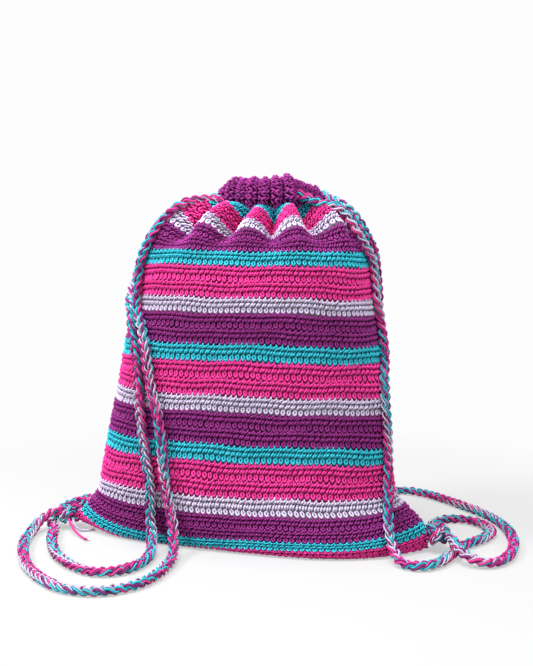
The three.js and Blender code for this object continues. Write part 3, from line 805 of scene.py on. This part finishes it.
def build_knot(name, node, middle, tails, turn, seed):
    """Cord ends tied round the corner: one overhand knot in the plait, with loose yarn ends."""
    t = np.linspace(0, 2 * math.pi, 16, endpoint=False) + turn
    points = np.stack([
        KNOT_SIZE * 0.82 * (np.sin(t) + 2 * np.sin(2 * t)),
        KNOT_SIZE * 0.88 * (np.cos(t) - 2 * np.cos(2 * t)),
        -KNOT_SIZE * 1.3 * np.sin(3 * t),
    ], axis=1)
    points = np.concatenate([points, points[:2]]) + np.array(middle)
    line, run = smooth_route(points, 1.6)
    facing = soften(line - np.array(middle), 5)
    tubes = plait(line, run, facing, seed, scale=KNOT_PLAIT)
    chance = np.random.default_rng(seed + 50)
    for colour, tail in tails:
        strand, _ = smooth_route(np.array(tail, float), 1.4)
        strand[:, 2] = np.maximum(strand[:, 2], 1.2)
        tubes.append(yarn_tube(strand, np.linspace(1.5, 1.2, len(strand)), 5, colour))
        ahead = strand[-1] - strand[-4]
        ahead /= np.linalg.norm(ahead)
        for _ in range(TAIL_HAIRS):
            spread = ahead * 5 + chance.normal(0, 1.6, 3)
            reach = np.linspace(0, 1, 5)[:, None]
            hair = strand[-3] + spread * reach + np.array([0, 0, 0.8]) * reach**2
            hair[:, 2] = np.maximum(hair[:, 2], 0.5)
            tubes.append(yarn_tube(hair, np.linspace(0.42, 0.25, 5), 4, colour))
    piece = new_piece(name, join_tubes(name, tubes), CORD_YARNS)
    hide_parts(node)
    return piece


# Materials

def linear(colour):
    """Colour of a picture as the values that the renderer works with."""
    values = [c / 255 for c in colour]
    return [c / 12.92 if c <= 0.04045 else ((c + 0.055) / 1.055) ** 2.4 for c in values] + [1.0]


def scaled(colour, factor):
    """The same colour, lighter or darker."""
    return [min(1.0, c * factor) for c in colour[:3]] + [1.0]


def math_node(tree, operation, first, second=None):
    """Adds one sum to a material and gives its result."""
    node = tree.nodes.new("ShaderNodeMath")
    node.operation = operation
    for place, value in enumerate((first, second)):
        if value is None:
            continue
        if isinstance(value, (int, float)):
            node.inputs[place].default_value = value
        else:
            tree.links.new(value, node.inputs[place])
    return node.outputs[0]


def plain_fabric(name):
    """A new material with a bare shader on its output and the places that patterns need."""
    material = bpy.data.materials.new(name)
    material.use_nodes = True
    tree = material.node_tree
    tree.nodes.clear()
    output = tree.nodes.new("ShaderNodeOutputMaterial")
    shader = tree.nodes.new("ShaderNodeBsdfPrincipled")
    tree.links.new(shader.outputs[0], output.inputs[0])
    where = tree.nodes.new("ShaderNodeTexCoord")
    return material, tree, shader, where


def cotton_yarn(name, colour, tone=1.0):
    """Matt plied cotton: uneven dye, painted shading between the plies, and a soft fuzz."""
    material, tree, shader, where = plain_fabric(name)
    split = tree.nodes.new("ShaderNodeSeparateXYZ")
    tree.links.new(where.outputs["UV"], split.inputs[0])
    twist = math_node(tree, "MULTIPLY", split.outputs[0], 1 / (MAP_SCALE * PLY_LENGTH))
    turn = math_node(tree, "MULTIPLY", split.outputs[1], 3.0)
    ply = math_node(tree, "ADD", twist, turn)
    ply = math_node(tree, "MULTIPLY", ply, math.pi)
    ply = math_node(tree, "ABSOLUTE", math_node(tree, "SINE", ply))
    dye = tree.nodes.new("ShaderNodeTexNoise")
    dye.inputs["Scale"].default_value = 34
    dye.inputs["Detail"].default_value = 3
    tree.links.new(where.outputs["Object"], dye.inputs["Vector"])
    fuzz = tree.nodes.new("ShaderNodeTexNoise")
    fuzz.inputs["Scale"].default_value = 1500
    fuzz.inputs["Detail"].default_value = 2
    tree.links.new(where.outputs["Object"], fuzz.inputs["Vector"])
    # The ply wave paints shading into the grooves between the plies; dye and fuzz vary the tone at
    # random
    ply_shading_dye_and_fuzz = math_node(tree, "MULTIPLY", ply, 0.5)
    ply_shading_dye_and_fuzz = math_node(tree, "ADD", ply_shading_dye_and_fuzz, math_node(tree, "MULTIPLY", dye.outputs[0], 0.55))
    ply_shading_dye_and_fuzz = math_node(tree, "ADD", ply_shading_dye_and_fuzz, math_node(tree, "MULTIPLY", fuzz.outputs[0], 0.35))
    ramp = tree.nodes.new("ShaderNodeValToRGB")
    ramp.color_ramp.elements[0].position = 0.3
    ramp.color_ramp.elements[0].color = scaled(linear(colour), 0.64 * tone)
    ramp.color_ramp.elements[1].position = 1.0
    ramp.color_ramp.elements[1].color = scaled(linear(colour), 1.25 * tone)
    tree.links.new(ply_shading_dye_and_fuzz, ramp.inputs[0])
    tree.links.new(ramp.outputs[0], shader.inputs["Base Color"])
    height = math_node(tree, "ADD", math_node(tree, "MULTIPLY", ply, 0.8), fuzz.outputs[0])
    bump = tree.nodes.new("ShaderNodeBump")
    bump.inputs["Strength"].default_value = 0.8
    bump.inputs["Distance"].default_value = 0.0006
    tree.links.new(height, bump.inputs["Height"])
    tree.links.new(bump.outputs[0], shader.inputs["Normal"])
    rough = math_node(tree, "ADD", math_node(tree, "MULTIPLY", fuzz.outputs[0], 0.15), 0.72)
    tree.links.new(rough, shader.inputs["Roughness"])
    shader.inputs["Specular IOR Level"].default_value = 0.3
    shader.inputs["Sheen Weight"].default_value = 0.2
    shader.inputs["Sheen Tint"].default_value = scaled(linear(colour), 2.5)
    shader.inputs["Sheen Roughness"].default_value = 0.5
    return material


def shadowed_fabric(name, colour, light=0.42, dark=0.13):
    """Painted shading: the same yarn deep between the stitches, dark where little light reaches it."""
    material, tree, shader, where = plain_fabric(name)
    knots = tree.nodes.new("ShaderNodeTexVoronoi")
    knots.inputs["Scale"].default_value = 260
    tree.links.new(where.outputs["Object"], knots.inputs["Vector"])
    # The ramp darkens the yarn colour into painted shading, varied in Voronoi cells
    ramp = tree.nodes.new("ShaderNodeValToRGB")
    ramp.color_ramp.elements[0].color = scaled(linear(colour), light)
    ramp.color_ramp.elements[1].color = scaled(linear(colour), dark)
    tree.links.new(knots.outputs["Distance"], ramp.inputs[0])
    tree.links.new(ramp.outputs[0], shader.inputs["Base Color"])
    bump = tree.nodes.new("ShaderNodeBump")
    bump.inputs["Strength"].default_value = 0.6
    bump.inputs["Distance"].default_value = 0.001
    bump.invert = True
    tree.links.new(knots.outputs["Distance"], bump.inputs["Height"])
    tree.links.new(bump.outputs[0], shader.inputs["Normal"])
    shader.inputs["Roughness"].default_value = 0.9
    shader.inputs["Specular IOR Level"].default_value = 0.1
    return material


# Camera, floor and light

def set_camera():
    """The camera of the photograph."""
    data = bpy.data.cameras.new("photo_camera")
    data.sensor_width = 36
    data.lens = 64.865
    data.clip_start = 0.01
    camera = bpy.data.objects.new("photo_camera", data)
    camera.location = (0.27594, -1.16924, 0.376)
    camera.rotation_euler = (math.radians(82.3585), 0, math.radians(12.212))
    bpy.context.scene.collection.objects.link(camera)
    bpy.context.scene.camera = camera


def white_ground():
    """White floor. What the camera sees is lifted to white paper."""
    material = bpy.data.materials.new("white_paper")
    material.use_nodes = True
    tree = material.node_tree
    tree.nodes.clear()
    output = tree.nodes.new("ShaderNodeOutputMaterial")
    paper = tree.nodes.new("ShaderNodeBsdfDiffuse")
    paper.inputs["Color"].default_value = (0.4, 0.4, 0.404, 1)
    plain = tree.nodes.new("ShaderNodeEmission")
    plain.inputs["Color"].default_value = (0.98, 0.98, 0.985, 1)
    path = tree.nodes.new("ShaderNodeLightPath")
    where = tree.nodes.new("ShaderNodeTexCoord")
    far = tree.nodes.new("ShaderNodeVectorMath")
    far.operation = "LENGTH"
    tree.links.new(where.outputs["Object"], far.inputs[0])
    edge = tree.nodes.new("ShaderNodeMapRange")
    edge.interpolation_type = "SMOOTHSTEP"
    edge.inputs["From Min"].default_value = 0.3
    edge.inputs["From Max"].default_value = 0.62
    edge.inputs["To Min"].default_value = 0.5
    edge.inputs["To Max"].default_value = 1.0
    tree.links.new(far.outputs["Value"], edge.inputs["Value"])
    seen = math_node(tree, "MULTIPLY", path.outputs["Is Camera Ray"], edge.outputs[0])
    mix = tree.nodes.new("ShaderNodeMixShader")
    tree.links.new(seen, mix.inputs[0])
    tree.links.new(paper.outputs[0], mix.inputs[1])
    tree.links.new(plain.outputs[0], mix.inputs[2])
    tree.links.new(mix.outputs[0], output.inputs[0])
    bm = bmesh.new()
    bmesh.ops.create_circle(bm, cap_ends=True, segments=96, radius=9)
    mesh = bpy.data.meshes.new("floor_paper")
    bm.to_mesh(mesh)
    bm.free()
    mesh.materials.append(material)
    floor = bpy.data.objects.new("floor_paper", mesh)
    bpy.context.scene.collection.objects.link(floor)


def set_light():
    """A white room with a softbox on the left, a weak one on the right and one above."""
    world = bpy.data.worlds.new("white_studio")
    bpy.context.scene.world = world
    world.use_nodes = True
    tree = world.node_tree
    tree.nodes.clear()
    output = tree.nodes.new("ShaderNodeOutputWorld")
    soft = tree.nodes.new("ShaderNodeBackground")
    soft.inputs["Color"].default_value = (1, 1, 1, 1)
    soft.inputs["Strength"].default_value = 0.55
    seen = tree.nodes.new("ShaderNodeBackground")
    seen.inputs["Color"].default_value = (0.98, 0.98, 0.985, 1)
    seen.inputs["Strength"].default_value = 1
    path = tree.nodes.new("ShaderNodeLightPath")
    mix = tree.nodes.new("ShaderNodeMixShader")
    tree.links.new(path.outputs["Is Camera Ray"], mix.inputs[0])
    tree.links.new(soft.outputs[0], mix.inputs[1])
    tree.links.new(seen.outputs[0], mix.inputs[2])
    tree.links.new(mix.outputs[0], output.inputs[0])
    lamps = [
        ("key_softbox", (-1.5, -0.95, 1.7), 0.7, 56),
        ("fill_softbox", (1.4, -1.3, 0.8), 1.2, 11),
        ("top_softbox", (-0.1, -0.45, 1.85), 1.0, 50),
    ]
    for name, place, size, power in lamps:
        data = bpy.data.lights.new(name, "AREA")
        data.shape = "DISK"
        data.size = size
        data.energy = power
        lamp = bpy.data.objects.new(name, data)
        lamp.location = place
        aim = Vector((0, 0, 0.15)) - Vector(place)
        lamp.rotation_euler = aim.to_track_quat("-Z", "Y").to_euler()
        bpy.context.scene.collection.objects.link(lamp)


# The scene: camera, materials, knots and cords, fabric and stitches, then the ground and the light

bpy.context.scene.view_settings.view_transform = "Standard"
set_camera()
COLOURS = [("pink", PINK), ("turquoise", TURQUOISE), ("purple", PURPLE), ("lavender", LAVENDER)]
YARNS = [cotton_yarn(word + "_cotton", colour) for word, colour in COLOURS]
SHADOWED = [shadowed_fabric(word + "_painted_shading_between_stitches", colour) for word, colour in COLOURS[:3]]
# Lavender's painted shading between the stitches is lighter
SHADOWED.append(shadowed_fabric("lavender_painted_shading_between_stitches", LAVENDER, 0.46, 0.2))
# The cords' yarns are the same cotton darkened to 0.7 of its colour: painted shading
CORD_YARNS = [cotton_yarn(word + "_cord_cotton", colour, 0.7) for word, colour in COLOURS]
knot_left = build_knot("knot_left", "corner_knot_left", LEFT_KNOT, LEFT_TAILS, 0.3, 11)
knot_right = build_knot("knot_right", "corner_knot_right", RIGHT_KNOT, RIGHT_TAILS, 1.4, 12)
build_cord("plaited_cord_left", "drawcord_left", LEFT_ROUTE, 21)
build_cord("plaited_cord_right", "drawcord_right", RIGHT_ROUTE, 22)
STITCH_UNIT = yarn_unit(STITCH_LENGTHS, True)
HEM_UNIT = yarn_unit(HEM_LENGTHS, False)
build_backing()
for number in range(4):
    first = 12 * number
    lay_stitches(
        "stitches_band_%d" % (number + 1), range(first + 2, first + 14, 2), STITCHES_ROUND, 31 + number
    )
lay_stitches("stitches_neck", [50, 52, 54], STITCHES_ROUND, 41)
HEM_TOPS = [LAST_ROW + HEM_UNIT_ROWS * (number + 1) for number in range(HEM_UNITS)]
lay_stitches("stitches_hem", HEM_TOPS, HEM_STITCHES, 42, hem=True)
white_ground()
set_light()
